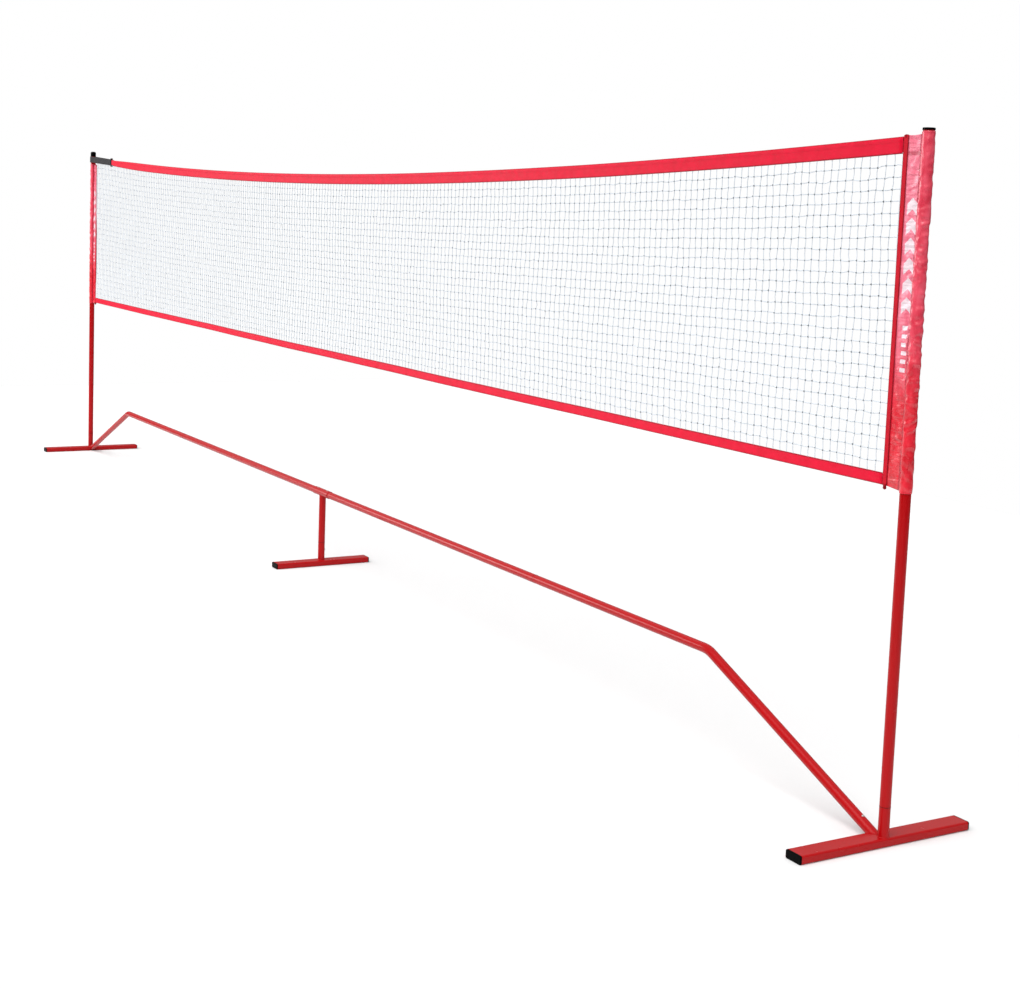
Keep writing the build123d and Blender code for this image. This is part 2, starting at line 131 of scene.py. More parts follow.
class Finish:
    """A Principled material, with short calls that add the nodes of its detail."""

    def __init__(self, name, color, roughness, **constants):
        self.material = bpy.data.materials.new(name)
        self.material.use_nodes = True
        self.nodes = self.material.node_tree.nodes
        self.links = self.material.node_tree.links
        self.shader = self.nodes["Principled BSDF"]
        self.shader.inputs["Base Color"].default_value = (*color, 1)
        self.shader.inputs["Roughness"].default_value = roughness
        for socket, value in constants.items():
            self.shader.inputs[socket.replace("_", " ")].default_value = value
        self.position = self.nodes.new("ShaderNodeTexCoord").outputs["Object"]

    def cloth_coordinates(self):
        """Metres along and across the cloth, stored on its mesh."""
        attribute = self.nodes.new("ShaderNodeAttribute")
        attribute.attribute_name = "cloth"
        self.position = attribute.outputs["Vector"]

    def put(self, value, socket):
        """Link a node's output, or set a number, on an input."""
        if isinstance(value, bpy.types.NodeSocket):
            self.links.new(value, socket)
        else:
            socket.default_value = value

    def math(self, operation, *values):
        node = self.nodes.new("ShaderNodeMath")
        node.operation = operation
        for value, socket in zip(values, node.inputs):
            self.put(value, socket)
        return node.outputs[0]

    def axis(self, index):
        """One coordinate of the position."""
        node = self.nodes.new("ShaderNodeSeparateXYZ")
        self.links.new(self.position, node.inputs[0])
        return node.outputs[index]

    def noise(self, scale, detail=2.0, stretch=(1, 1, 1)):
        mapping = self.nodes.new("ShaderNodeMapping")
        mapping.inputs["Scale"].default_value = stretch
        self.links.new(self.position, mapping.inputs["Vector"])
        node = self.nodes.new("ShaderNodeTexNoise")
        node.inputs["Scale"].default_value = scale
        node.inputs["Detail"].default_value = detail
        self.links.new(mapping.outputs[0], node.inputs["Vector"])
        return node.outputs["Fac"]

    def wave(self, coordinate, pitch):
        """Sine of a coordinate, once every pitch."""
        return self.math("SINE", self.math("MULTIPLY", coordinate, 2 * math.pi / pitch))

    def mix(self, factor, first, second):
        """Colour between two colours or colour outputs."""
        node = self.nodes.new("ShaderNodeMix")
        node.data_type = "RGBA"
        self.put(factor, node.inputs["Factor"])
        for value, socket in ((first, node.inputs["A"]), (second, node.inputs["B"])):
            self.put((*value, 1) if isinstance(value, tuple) else value, socket)
        return node.outputs["Result"]

    def moved(self, value, old, new, interpolation):
        """A value's run from one pair of numbers, moved to run between another."""
        node = self.nodes.new("ShaderNodeMapRange")
        node.interpolation_type = interpolation
        self.put(value, node.inputs["Value"])
        for name, number in zip(("From Min", "From Max", "To Min", "To Max"), (*old, *new)):
            node.inputs[name].default_value = number
        return node.outputs["Result"]

    def between(self, factor, low, high):
        """The middle half of a factor's run from 0 to 1, moved to run from low to high."""
        return self.moved(factor, (0.25, 0.75), (low, high), "LINEAR")

    def fade(self, value, start, end):
        """Factor that falls from 1 to 0 as a value goes from start to end."""
        return self.moved(value, (start, end), (1, 0), "SMOOTHSTEP")

    def color(self, value):
        self.put(value, self.shader.inputs["Base Color"])

    def roughness(self, value):
        self.put(value, self.shader.inputs["Roughness"])

    def bump(self, height, depth):
        """Relief of that depth in metres, over any relief that is already there."""
        node = self.nodes.new("ShaderNodeBump")
        node.inputs["Strength"].default_value = 1.0
        node.inputs["Distance"].default_value = depth
        self.put(height, node.inputs["Height"])
        socket = self.shader.inputs["Normal"]
        if socket.links:
            self.links.new(socket.links[0].from_socket, node.inputs["Normal"])
        self.links.new(node.outputs["Normal"], socket)

    def weave(self, along_pitch, across_pitch, depth):
        """Plain weave: threads that cross along and across the cloth."""
        threads = self.math(
            "MULTIPLY", self.wave(self.axis(0), along_pitch), self.wave(self.axis(1), across_pitch)
        )
        self.bump(threads, depth)


def red_paint():
    paint = Finish("red_paint", (0.38, 0.001, 0.003), 0.24, Specular_IOR_Level=0.2)
    paint.color(paint.mix(paint.noise(7, 2), (0.35, 0.0005, 0.002), (0.41, 0.001, 0.003)))
    paint.roughness(paint.between(paint.noise(25, 3), 0.22, 0.28))
    paint.bump(paint.noise(700, 1), 0.000012)
    return paint.material


def black_plastic():
    plastic = Finish("black_plastic", (0.001, 0.001, 0.001), 0.42, Specular_IOR_Level=0.03)
    dark, light = (0.0006, 0.0006, 0.0006), (0.0020, 0.0020, 0.0020)
    plastic.color(plastic.mix(plastic.noise(60, 3), dark, light))
    plastic.roughness(plastic.between(plastic.noise(120, 3), 0.34, 0.52))
    plastic.bump(plastic.noise(1800, 2), 0.00006)
    return plastic.material


def zinc_steel():
    steel = Finish("zinc_steel", (0.62, 0.62, 0.60), 0.30, Metallic=1.0)
    steel.color(steel.mix(steel.noise(300, 3), (0.52, 0.52, 0.50), (0.70, 0.70, 0.69)))
    steel.roughness(steel.between(steel.noise(500, 2, (1, 1, 0.1)), 0.22, 0.40))
    return steel.material


def red_satin():
    """Shiny woven satin, printed with a row of chevrons and then bars; its colour holds a painted
    highlight towards its top, painted shade and highlight of creases, and painted shade by the
    pocket's seam.
    """
    satin = Finish(
        "red_satin", (0.60, 0.02, 0.05), 0.30,
        Specular_IOR_Level=0.5, Coat_Weight=0.45, Coat_Roughness=0.20,
    )
    satin.cloth_coordinates()
    across, drop = satin.axis(0), satin.axis(1)
    # blotches of painted crease shade and highlight, as darker and paler patches of the cloth colour
    blotch = satin.noise(28, 4, (2, 0.6, 1))
    painted_creases = satin.between(blotch, 0, 1)
    # painted highlight: the upper cloth is paler pink, more on the panel than on the pocket, fading
    # into the deeper red below
    highlit_panel = satin.mix(painted_creases, (0.74, 0.090, 0.160), (0.96, 0.280, 0.380))
    highlit_pocket = satin.mix(painted_creases, (0.62, 0.012, 0.040), (0.88, 0.110, 0.170))
    highlit = satin.mix(satin.math("LESS_THAN", across, PANEL_W), highlit_pocket, highlit_panel)
    deep = satin.mix(painted_creases, (0.50, 0.002, 0.010), (0.84, 0.016, 0.040))
    cloth = satin.mix(satin.fade(drop, *HIGHLIGHT_DROPS), deep, highlit)

    def within(value, low, high):
        return satin.math(
            "MULTIPLY", satin.math("GREATER_THAN", value, low), satin.math("LESS_THAN", value, high)
        )

    # darker doubled cloth at the seams; at the pocket's seam the dark band is also painted shade of
    # the pocket's shadow and crease, running on round the pocket
    seam = within(across, PANEL_W - SEAM_W, PANEL_W + SEAM_SHADE_WRAP)
    cross_seam = satin.math("MULTIPLY", within(drop, *CROSS_SEAM_DROPS), within(across, 0, PANEL_W))
    doubled_and_shade = satin.math("MULTIPLY", satin.math("MAXIMUM", seam, cross_seam), 0.65)
    cloth = satin.mix(doubled_and_shade, cloth, (0.34, 0.001, 0.020))
    off_middle = satin.math("ABSOLUTE", satin.math("SUBTRACT", across, PRINT_MIDDLE))

    def repeated(value, start, pitch, count, share):
        """The first share of each pitch along a value, for a count of pitches from start on."""
        number = satin.math("DIVIDE", satin.math("SUBTRACT", value, start), pitch)
        inked = satin.math("LESS_THAN", satin.math("FRACT", number), share)
        return satin.math("MULTIPLY", inked, within(number, 0, count))

    def no_wider(inked, half_width):
        return satin.math("MULTIPLY", inked, satin.math("LESS_THAN", off_middle, half_width))

    bent = satin.math("SUBTRACT", drop, satin.math("MULTIPLY", off_middle, CHEVRON_SLOPE))
    chevrons = no_wider(repeated(bent, *CHEVRONS), PRINT_HALF_WIDTH)
    bars = no_wider(repeated(drop, *BARS), PRINT_HALF_WIDTH / 2)
    ink = satin.math("MULTIPLY", satin.math("MAXIMUM", chevrons, bars), 0.92)
    satin.color(satin.mix(ink, cloth, (0.80, 0.70, 0.75)))
    satin.roughness(satin.between(satin.noise(60, 3), 0.24, 0.38))
    satin.weave(0.0009, 0.0009, 0.00002)
    satin.bump(satin.noise(70, 3, (1.4, 0.7, 1)), 0.0009)
    return satin.material


def woven_tape(name, dark, light, roughness, pitch):
    """Ribbed woven tape, with painted shade along its edges and folds."""
    tape = Finish(name, light, roughness, Specular_IOR_Level=0.15)
    tape.cloth_coordinates()
    # painted shade along the tape's edges and fold
    rim = tape.math("MULTIPLY", tape.fade(tape.axis(2), *RIM_SHADE), 0.7)
    shade = tuple(0.30 * value for value in dark)
    tape.color(tape.mix(rim, tape.mix(tape.noise(45, 4), dark, light), shade))
    tape.roughness(tape.between(tape.noise(90, 2), roughness - 0.06, roughness + 0.08))
    tape.weave(pitch, pitch, 0.00005)
    tape.bump(tape.noise(35, 3, (1, 0.4, 1)), 0.0006)
    return tape.material


def net_cord(name, dark, light):
    """Twisted cord."""
    cord = Finish(name, light, 0.62, Sheen_Weight=0.2)
    cord.color(cord.mix(cord.noise(25, 3), dark, light))
    cord.bump(cord.noise(1500, 2), 0.0001)
    return cord.material


def webbing():
    """Grey-black webbing with ribs across it."""
    strap = Finish("black_webbing", (0.030, 0.028, 0.030), 0.6, Specular_IOR_Level=0.2)
    strap.cloth_coordinates()
    strap.color(strap.mix(strap.noise(120, 3), (0.020, 0.019, 0.020), (0.042, 0.039, 0.042)))
    strap.roughness(strap.between(strap.noise(200, 2), 0.5, 0.7))
    strap.bump(strap.wave(strap.axis(0), 0.0022), 0.00020)
    strap.weave(0.0022, 0.0016, 0.00012)
    return strap.material


RIM_SHADE = (0.0008, 0.0034)  # a tape's painted shade along its edges and folds fades out between these distances from them
SEAM_W = 0.011  # width of the doubled cloth at the pocket's seam, which is also darkened with painted shade of the pocket
SEAM_SHADE_WRAP = 0.005  # and how far that painted shade of the crease runs on round the pocket
CROSS_SEAM_DROPS = (0.035, 0.042)  # these are measured down from the top of the sleeve
# drops between which the painted highlight of the upper cloth fades out
HIGHLIGHT_DROPS = (0.36, 0.60)
CHEVRONS = (0.131, 0.042, 6, 0.58)  # start, pitch, count and inked share of the pitch
BARS = (0.402, 0.018, 6, 0.5)
CHEVRON_SLOPE = 0.9
PRINT_MIDDLE = 0.021  # measured across the panel, from the binding
PRINT_HALF_WIDTH = 0.0145
FINISHES = {
    "red_paint": red_paint(),
    "black_plastic": black_plastic(),
    "zinc_steel": zinc_steel(),
    "red_satin": red_satin(),
    "dark_red_tape": woven_tape(
        "dark_red_tape", (0.42, 0.001, 0.010), (0.64, 0.002, 0.020), 0.5, 0.0012
    ),
    "red_nylon": woven_tape("red_nylon", (0.58, 0.001, 0.018), (0.84, 0.002, 0.040), 0.48, 0.0014),
    "white_mesh": net_cord("white_mesh", (0.54, 0.60, 0.66), (0.69, 0.74, 0.80)),
    "white_cord": net_cord("white_cord", (0.72, 0.72, 0.70), (0.85, 0.85, 0.83)),
    "black_webbing": webbing(),
}
# the knots' dark grey is painted shade of the knotted white cord
SHADED_KNOT_CORD = net_cord("knot_cord", (0.04, 0.04, 0.045), (0.16, 0.17, 0.18))
THREAD = woven_tape("red_thread", (0.36, 0.004, 0.016), (0.52, 0.010, 0.030), 0.55, 0.0009)

for part in frame["record"]["subparts"]:
    for holder in frame["nodes"][part["node"]].material_slots:
        holder.material = FINISHES[part["material_slot"]]


# Making meshes

def made_mesh(points, faces, cloth=None):
    """Mesh of points and faces, with optional cloth coordinates on its points."""
    mesh = bpy.data.meshes.new("mesh")
    mesh.from_pydata(np.asarray(points, float).tolist(), [], np.asarray(faces).tolist())
    if cloth is not None:
        data = np.zeros((len(mesh.vertices), 3), np.float32)
        data[:, :np.shape(cloth)[1]] = cloth
        attribute = mesh.attributes.new("cloth", "FLOAT_VECTOR", "POINT")
        attribute.data.foreach_set("vector", data.ravel())
    return mesh


def new_piece(name, mesh, finish, body):
    """Smooth object of a mesh, riding on a body."""
    mesh.name = name
    mesh.materials.append(finish)
    mesh.shade_smooth()
    piece = added(name, mesh)
    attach(piece, body)
    return piece


def wires(loops, thickness):
    """Mesh of round wires along closed loops.

    Each loop is a list of points and the share of the thickness at each.
    """
    curve = bpy.data.curves.new("wires", "CURVE")
    curve.dimensions = "3D"
    curve.bevel_depth = thickness / 2
    curve.bevel_resolution = 2
    for points, shares in loops:
        spline = curve.splines.new("POLY")
        spline.points.add(len(points) - 1)
        for spot, place, share in zip(spline.points, points, shares):
            spot.co = (*place, 1)
            spot.radius = share
        spline.use_cyclic_u = True
    holder = bpy.data.objects.new("wires", curve)
    mesh = bpy.data.meshes.new_from_object(holder)
    bpy.data.objects.remove(holder)
    return mesh


def grid_faces(rows, columns, wrap_rows=False, wrap_columns=False):
    """Quads of a grid of points numbered row by row."""
    row, column = np.meshgrid(
        np.arange(rows if wrap_rows else rows - 1),
        np.arange(columns if wrap_columns else columns - 1),
        indexing="ij",
    )
    next_row, next_column = (row + 1) % rows, (column + 1) % columns
    corners = (
        row * columns + column,
        next_row * columns + column,
        next_row * columns + next_column,
        row * columns + next_column,
    )
    return np.stack(corners, -1).reshape(-1, 4)


FOLD_STEP = 0.002  # between the points across a folded tape
BULGE_W = 0.0028  # a bulge in it fades out over about this length
STITCH = 0.0045  # pitch of the stitches
THREAD_SHARE = 0.7  # of the pitch, which a stitch's thread covers
STITCH_W, STITCH_H = 0.0006, 0.0004  # width and height of the thread


def solid_sheet(piece, thickness):
    """Give a sheet its thickness, equally to both sides."""
    solid = piece.modifiers.new("thickness", "SOLIDIFY")
    solid.thickness = thickness
    solid.offset = 0
    return piece


def ribbon(name, place, run, profile, thickness, slot, closed=False):
    """Tape with a profile of (across, out) pairs, its points placed by place(along, across, out).

    A closed one is a flat belt, and any other is folded in two along its middle.
    """
    run, profile = np.asarray(run, float), np.asarray(profile, float)
    along = np.repeat(run[:, None], len(profile), 1)
    across = np.repeat(profile[None, :, 0], len(run), 0)
    out = np.repeat(profile[None, :, 1], len(run), 0)
    points = np.stack(place(along, across, out), -1).reshape(-1, 3)
    width = np.concatenate([[0], np.cumsum(np.hypot(*np.diff(profile, axis=0).T))])
    edges = (0, width[-1]) if closed else (0, width[-1] / 2, width[-1])
    rim = np.min([np.abs(width - edge) for edge in edges], axis=0)
    widths, rims = (np.repeat(values[None, :], len(run), 0) for values in (width, rim))
    cloth = np.stack([along, widths, rims], -1).reshape(-1, 3)
    faces = grid_faces(len(run), len(profile), wrap_rows=closed)
    piece = new_piece(name, made_mesh(points, faces, cloth), FINISHES[slot], "net")
    return solid_sheet(piece, thickness)


def folded(edge, fold, gap, bulge=None):
    """Profile of a tape folded in two: from its front edge round the fold to its back edge."""
    step = math.copysign(FOLD_STEP, fold - edge)
    rise = np.append(np.arange(edge, fold - step, step), fold - step / 2)
    half = np.full(len(rise), gap)
    if bulge:
        centre, radius = bulge
        half += (radius - gap) * np.exp(-(((rise - centre) / BULGE_W) ** 2))
    front = [(a, FRONT * o) for a, o in zip(rise, half)]
    back = [(a, BACK * o) for a, o in zip(rise[::-1], half[::-1])]
    return front + [(fold, 0)] + back


def stitches(name, starts, ends, normals, slot, thread=None):
    """Raised threads from starts to ends, lying on a surface with those normals."""
    starts, ends, normals = (np.asarray(v, float).reshape(-1, 3) for v in (starts, ends, normals))
    centres = (starts + ends) / 2
    sideways = np.cross(ends - starts, normals)
    sideways *= STITCH_W / 2 / np.linalg.norm(sideways, axis=1, keepdims=True)
    lift = normals * STITCH_H
    points = np.stack([
        starts, centres + sideways, centres + lift, centres - sideways, centres - lift / 2, ends,
    ], 1).reshape(-1, 3)
    sides = ((1, 2), (2, 3), (3, 4), (4, 1))
    shape = [(0, b, a) for a, b in sides] + [(5, a, b) for a, b in sides]
    faces = (np.arange(len(starts))[:, None, None] * 6 + np.array(shape)[None]).reshape(-1, 3)
    cloth = np.column_stack([np.repeat(starts[:, :2], 6, 0), np.full(len(points), RIM_SHADE[1])])
    return new_piece(name, made_mesh(points, faces, cloth), thread or THREAD, "net")


def tape_stitches(name, place, run, rows, slot):
    """Rows of stitches on both faces of a folded tape, at places across it."""
    low, high = run
    along = np.arange(low, high - STITCH, STITCH)
    starts, ends, normals = [], [], []
    for across in rows:
        for face in (FRONT, BACK):
            filled = np.full(len(along), across), np.full(len(along), face * SEWN_OUT)
            starts.append(np.stack(place(along, *filled), -1))
            ends.append(np.stack(place(along + THREAD_SHARE * STITCH, *filled), -1))
            normals.append(np.repeat([(0, face, 0)], len(along), 0))
    return stitches(name, *map(np.concatenate, (starts, ends, normals)), slot)


def joined(parts):
    """Several (points, faces) as one."""
    points, faces, count = [], [], 0
    for part_points, part_faces in parts:
        points.append(part_points)
        faces.append(part_faces + count)
        count += len(part_points)
    return np.concatenate(points), np.concatenate(faces)


# Camera, at the photograph's viewing angle

CAMERA_AT = Vector((5.6574, -2.5037, 1.3452))
CAMERA_AZIMUTH, CAMERA_PITCH, CAMERA_ROLL = (math.radians(v) for v in (59.762, -6.465, 2.165))
CAMERA_LENS, CAMERA_SHIFT = 58.85, -0.0922
camera = added("camera", bpy.data.cameras.new("camera"))
camera.data.lens = CAMERA_LENS
camera.data.shift_y = CAMERA_SHIFT
ahead = Vector((
    -math.sin(CAMERA_AZIMUTH) * math.cos(CAMERA_PITCH),
    math.cos(CAMERA_AZIMUTH) * math.cos(CAMERA_PITCH),
    math.sin(CAMERA_PITCH),
))
level_right = ahead.cross(Vector((0, 0, 1))).normalized()
level_up = level_right.cross(ahead)
right = level_right * math.cos(CAMERA_ROLL) + level_up * math.sin(CAMERA_ROLL)
up = level_up * math.cos(CAMERA_ROLL) - level_right * math.sin(CAMERA_ROLL)
turned = Matrix((right, up, -ahead)).transposed().to_4x4()
camera.matrix_world = Matrix.Translation(CAMERA_AT) @ turned
bpy.context.scene.camera = camera


# Floor and soft studio light

FLOOR_X, FLOOR_Y = 6.0, 3.5  # half its sides
FLOOR_Z = -0.0005
FLOOR_COLOR = (0.77, 0.77, 0.77)  # the net's thin cords vanish against a paler one
floor_mesh = bpy.data.meshes.new("floor")
floor_corners = [(FLOOR_X * x, FLOOR_Y * y, 0) for x, y in ((-1, -1), (1, -1), (1, 1), (-1, 1))]
floor_mesh.from_pydata(floor_corners, [], [(0, 1, 2, 3)])
floor = added("floor", floor_mesh)
floor.location.z = FLOOR_Z
floor_paint = Finish("floor", FLOOR_COLOR, 0.9, Specular_IOR_Level=0.1)
floor_mesh.materials.append(floor_paint.material)

# The sky lights the scene from above and is dim near the horizon, but the camera sees it white
DOME_RISE = (0.08, 0.40)
DOME_STRENGTH = (0.06, 0.70)
world = bpy.data.worlds.new("studio")
world.use_nodes = True
bpy.context.scene.world = world
sky, sky_links = world.node_tree.nodes, world.node_tree.links
backdrop = sky["Background"]
backdrop.inputs["Color"].default_value = (1, 1, 1, 1)
heading = sky.new("ShaderNodeSeparateXYZ")
sky_links.new(sky.new("ShaderNodeTexCoord").outputs["Generated"], heading.inputs[0])
dome = sky.new("ShaderNodeMapRange")
dome.inputs["From Min"].default_value, dome.inputs["From Max"].default_value = DOME_RISE
dome.inputs["To Min"].default_value, dome.inputs["To Max"].default_value = DOME_STRENGTH
sky_links.new(heading.outputs["Z"], dome.inputs["Value"])
seen = sky.new("ShaderNodeMix")
seen.inputs["B"].default_value = 1.0
sky_links.new(sky.new("ShaderNodeLightPath").outputs["Is Camera Ray"], seen.inputs["Factor"])
sky_links.new(dome.outputs["Result"], seen.inputs["A"])
sky_links.new(seen.outputs["Result"], backdrop.inputs["Strength"])


def softbox(name, place, target, size, power):
    """Rectangular soft light that faces a target."""
    light = bpy.data.lights.new(name, "AREA")
    light.shape = "RECTANGLE"
    light.size, light.size_y = size
    light.energy = power
    lamp = added(name, light)
    lamp.location = place
    lamp.rotation_euler = (Vector(target) - Vector(place)).to_track_quat("-Z", "Y").to_euler()


softbox("left_light", (-6.5, -5.0, 2.2), (1.5, 0, 0.9), (4, 2.5), 200)
key_light = bpy.data.lights.new("key_light", "SUN")
key_light.energy = 2.9
key_light.angle = math.radians(60)
key = added("key_light", key_light)
key.rotation_euler = (math.radians(38), 0, math.radians(25))
bpy.context.scene.view_settings.view_transform = "Standard"


# Net of knotted cord

MESH_PITCH = 0.0250
MESH_ROWS = 27
CORD_R = 0.0012
KNOT_SIZE = (0.0044, 0.0038, 0.0038)
KNOT_SIDES, KNOT_BANDS = 6, 3
TUCK = 0.002  # how far the mesh goes in under each band
KNOT_SCATTER, KNOT_SCATTER_OUT = 0.0010, 0.0005  # within the net's plane and out of it
CORD_SLACK = 0.0006
BELLY = 0.004  # how far the net's middle rows swing out of its plane
LEAN = 0.0022  # and how far they shift along it


def net_points():
    """Knots of the net as an array of rows and columns."""
    rng = np.random.default_rng(SEED)
    columns = round(2 * END_X / MESH_PITCH)
    x = np.linspace(-END_X, END_X, columns + 1)[None, :].repeat(MESH_ROWS + 1, 0)
    share = np.linspace(0, 1, MESH_ROWS + 1)[:, None]
    low = bottom_line(x) + BOTTOM_BAND / 2 - TUCK
    high = top_line(x) - half_band(x) + TUCK
    z = low + (high - low) * share
    y = billow(x) + BELLY * np.sin(2.1 * x + 5 * share) * np.sin(math.pi * share)
    inner = (share > 0) & (share < 1) & (np.abs(x) < END_X - 0.001)
    lean = LEAN * np.sin(math.pi * share) * np.sin(1.3 * x + 2.0)
    x = x + inner * (rng.normal(0, KNOT_SCATTER, x.shape) + lean)
    z = z + inner * rng.normal(0, KNOT_SCATTER, x.shape)
    y = y + inner * rng.normal(0, KNOT_SCATTER_OUT, x.shape)
    return np.stack([x, y, z], -1)


def with_midpoints(points, rng):
    """Points along the second axis and one between each two, slack but on the outer lines."""
    slack_by = rng.normal(0, CORD_SLACK, points[:, 1:].shape)
    slack_by[[0, -1]] = 0
    between = (points[:, 1:] + points[:, :-1]) / 2 + slack_by
    line = np.empty((points.shape[0], 2 * points.shape[1] - 1, 3))
    line[:, ::2], line[:, 1::2] = points, between
    return line


def cords(name, lines, radius, round_axes, slot="white_mesh"):
    """Square-section cords along lines, smooth-shaded; round_axes are the two axes across them."""
    ring = np.zeros((4, 3))
    for index, (a, b) in enumerate(((1, 0), (0, 1), (-1, 0), (0, -1))):
        ring[index, round_axes[0]] = a * radius
        ring[index, round_axes[1]] = b * radius
    parts = []
    for line in lines:
        rows = line[:, None] + ring[None]
        parts.append((rows.reshape(-1, 3), grid_faces(len(line), 4, wrap_columns=True)))
    return new_piece(name, made_mesh(*joined(parts)), FINISHES[slot], "net")


knots = net_points()
slack = np.random.default_rng(SEED + 1)
net_across = cords("net_cords_across", with_midpoints(knots, slack), CORD_R, (1, 2))
cords("net_cords_down", with_midpoints(knots.transpose(1, 0, 2), slack), CORD_R, (0, 1))
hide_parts("net_mesh")


def knot_shape():
    """Points and faces of one small lumpy knot."""
    sides = KNOT_SIDES
    points = [(0, 0, 1)]
    for band in range(1, KNOT_BANDS + 1):
        tilt = math.pi * band / (KNOT_BANDS + 1)
        for side in range(sides):
            turn = 2 * math.pi * (side + 0.5 * band) / sides
            points.append((
                math.sin(tilt) * math.cos(turn), math.sin(tilt) * math.sin(turn), math.cos(tilt),
            ))
    points.append((0, 0, -1))
    faces = [(0, 1 + s, 1 + (s + 1) % sides) for s in range(sides)]
    for band in range(KNOT_BANDS - 1):
        for s in range(sides):
            a, b = 1 + band * sides + s, 1 + band * sides + (s + 1) % sides
            faces += [(a, a + sides, b), (b, a + sides, b + sides)]
    last = 1 + (KNOT_BANDS - 1) * sides
    faces += [(len(points) - 1, last + (s + 1) % sides, last + s) for s in range(sides)]
    return np.array(points) * np.array(KNOT_SIZE) / 2, np.array(faces)


def knot_cloud(places, rng):
    """A knot at each place, each turned its own way in the net's plane."""
    shape, faces = knot_shape()
    turn = rng.uniform(0, math.pi, len(places))
    cosine, sine = np.cos(turn)[:, None], np.sin(turn)[:, None]
    size = rng.uniform(0.85, 1.15, len(places))[:, None]
    x, y, z = shape.T
    points = np.stack([
        places[:, :1] + size * (cosine * x - sine * z),
        places[:, 1:2] + size * y,
        places[:, 2:] + size * (sine * x + cosine * z),
    ], -1)
    all_faces = faces[None] + len(shape) * np.arange(len(places))[:, None, None]
    return points.reshape(-1, 3), all_faces.reshape(-1, 3)


inner_knots = knots[1:-1, 1:-1].reshape(-1, 3)
# knots of white cord, drawn in the dark cord of painted shade
new_piece("net_knots", made_mesh(*knot_cloud(inner_knots, slack)), SHADED_KNOT_CORD, "net")


# Top and bottom bands

def top_place(x, across, out):
    return x, out + billow(x), top_line(x) + across * half_band(x) / (TOP_BAND / 2)


def bottom_place(x, across, out):
    return x, out + billow(x), bottom_line(x) + across


HEAD_CORD_RISE = 0.011
HEAD_CORD_R = 0.00125
HEAD_BULGE_R = 0.0018  # of the tape round the head cord
EDGE_CORD_R = 0.0011  # the cord along the mesh's top, left of the band
EDGE_LAP = 0.02  # how far it runs on into the band
TAPE_T = 0.0006
FOLD_GAP = 0.0013  # from the net to each half of a folded tape
SEWN_OUT = FOLD_GAP + TAPE_T / 2
END_IN = 0.002  # how far the head cord and the bindings' stitches stop short of the tape's end
TOP_ROWS = (-0.0150, 0.0062)  # places across each tape of its rows of stitches
BOTTOM_ROWS = (0.0100, -0.0100)
BINDING_ROWS = (0.0050, -0.0046)

top_ends = (BAND_START_X, BAND_END_X)
top_profile = folded(-TOP_BAND / 2, TOP_BAND / 2, FOLD_GAP, (HEAD_CORD_RISE, HEAD_BULGE_R))
top_band = ribbon(
    "top_band_tape", top_place, np.linspace(*top_ends, 460), top_profile, TAPE_T, "red_nylon"
)
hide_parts("top_band")
bottom_ends = (-END_X, END_X)
bottom_profile = folded(BOTTOM_BAND / 2, -BOTTOM_BAND / 2, FOLD_GAP)
bottom_band = ribbon(
    "bottom_band_tape", bottom_place, np.linspace(*bottom_ends, 480), bottom_profile, TAPE_T,
    "red_nylon",
)
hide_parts("bottom_band")

top_stitches = tape_stitches("top_band_stitches", top_place, top_ends, TOP_ROWS, "red_nylon")
bottom_stitches = tape_stitches(
    "bottom_band_stitches", bottom_place, bottom_ends, BOTTOM_ROWS, "red_nylon"
)

core_x = np.linspace(BAND_START_X + END_IN, BAND_END_X - END_IN, 300)
core_line = np.stack(top_place(core_x, HEAD_CORD_RISE, 0), -1)
head_cord = cords("head_cord_line", [core_line], HEAD_CORD_R, (1, 2), "white_cord")
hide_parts("head_cord")
edge_x = np.linspace(-END_X, BAND_START_X + EDGE_LAP, 40)
edge_line = np.stack(top_place(edge_x, -TOP_BAND / 2, 0), -1)
cords("net_edge_cord", [edge_line], EDGE_CORD_R, (1, 2))


# Side bindings

def binding_place(side):
    """Place of a point on one side's binding, whose across grows towards the post."""
    def place(height, across, out):
        return side * (BINDING_X + across), out + 0 * height, height
    return place


for name, side in SIDES.items():
    place = binding_place(side)
    top_z = BINDING_TOP_Z[side]
    run = np.linspace(BINDING_BOTTOM_Z, top_z, 150)
    profile = folded(BINDING_W / 2, -BINDING_W / 2, FOLD_GAP)
    binding = ribbon(f"{name}_binding_tape", place, run, profile, TAPE_T, "dark_red_tape")
    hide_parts(f"{name}_binding")
    ends = (BINDING_BOTTOM_Z + END_IN, top_z - END_IN)
    sewing = tape_stitches(f"{name}_binding_stitches", place, ends, BINDING_ROWS, "dark_red_tape")


# Sleeves

SIM_SCALE = 10.0  # the cloth solver works badly on millimetres
SIM_FRAMES = 24
SLEEVE_STEP = 0.0032
CREASES = (0.0034, 0.0034)  # heights of the folds that panel and pocket start with
LATE_CREASES = (0.0016, 0.0034)  # and of the sharper ones pressed in once the cloth has settled
CREASE_LEAN = 0.6  # slant of the folds, in radians
CREASES_ALONG, CREASES_OVER = 26, 62  # their frequencies along and across them, per metre
HEM_W = 0.006
STITCH_IN = 0.002  # from the edge of the doubled cloth to its row of stitches
POCKET_MIN_R = POST_R + 0.0006
SLEEVE_T = 0.0007
SLEEVE_CAP = 0.0065  # the furthest that a wrinkle moves a point
SEWN_IN = 0.003  # how far the panel goes in under the binding


